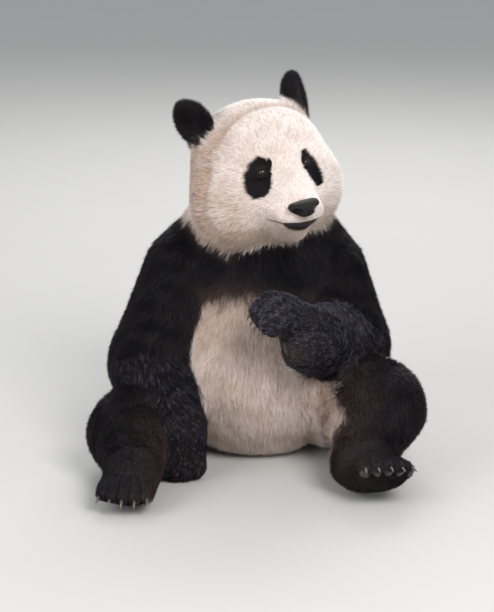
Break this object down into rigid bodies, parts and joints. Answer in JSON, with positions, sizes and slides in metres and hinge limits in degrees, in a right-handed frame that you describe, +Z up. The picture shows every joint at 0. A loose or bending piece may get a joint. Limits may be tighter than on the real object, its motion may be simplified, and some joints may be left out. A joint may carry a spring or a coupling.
{
  "type": "giant panda",
  "caption": "Life-size giant panda sitting upright on its rump, one arm down between its legs and the other hand closed before its chest.",
  "frame": {"origin": "on the floor, under the middle of the animal's bounding box", "axes": "+Z up, the animal faces -Y, its left side is +X"},
  "size_m": [0.7132, 0.759, 0.813],
  "materials": {
    "coat_white": "dense matt fur, creamy white with tan roots, dulled to light brown on the belly",
    "coat_black": "dense matt fur, near black with a faint purple-brown cast",
    "eye": "wet gloss, very dark brown iris round a black pupil",
    "nose": "fine-pebbled black skin with a damp sheen",
    "claw": "satin horn, dark at the root and paler at the tip"
  },
  "bodies": {
    "root": {"nose": "nose", "eye_left": "eye", "ear_left": "coat_black", "eye_right": "eye", "ear_right": "coat_black", "head": "coat_white", "hand_left": "coat_black", "claw_hand_left_1": "claw", "claw_hand_left_2": "claw", "claw_hand_left_3": "claw", "claw_hand_left_4": "claw", "claw_hand_left_5": "claw", "hand_right": "coat_black", "claw_hand_right_1": "claw", "claw_hand_right_2": "claw", "claw_hand_right_3": "claw", "claw_hand_right_4": "claw", "claw_hand_right_5": "claw", "foot_left": "coat_black", "claw_foot_left_1": "claw", "claw_foot_left_2": "claw", "claw_foot_left_3": "claw", "claw_foot_left_4": "claw", "claw_foot_left_5": "claw", "foot_right": "coat_black", "claw_foot_right_1": "claw", "claw_foot_right_2": "claw", "claw_foot_right_3": "claw", "claw_foot_right_4": "claw", "claw_foot_right_5": "claw", "upper_arm_left": "coat_black", "forearm_left": "coat_black", "thigh_left": "coat_black", "shank_left": "coat_black", "upper_arm_right": "coat_black", "forearm_right": "coat_black", "thigh_right": "coat_black", "shank_right": "coat_black", "neck": "coat_white", "tail": "coat_white", "trunk": "coat_white"}
  },
  "joints": []
}
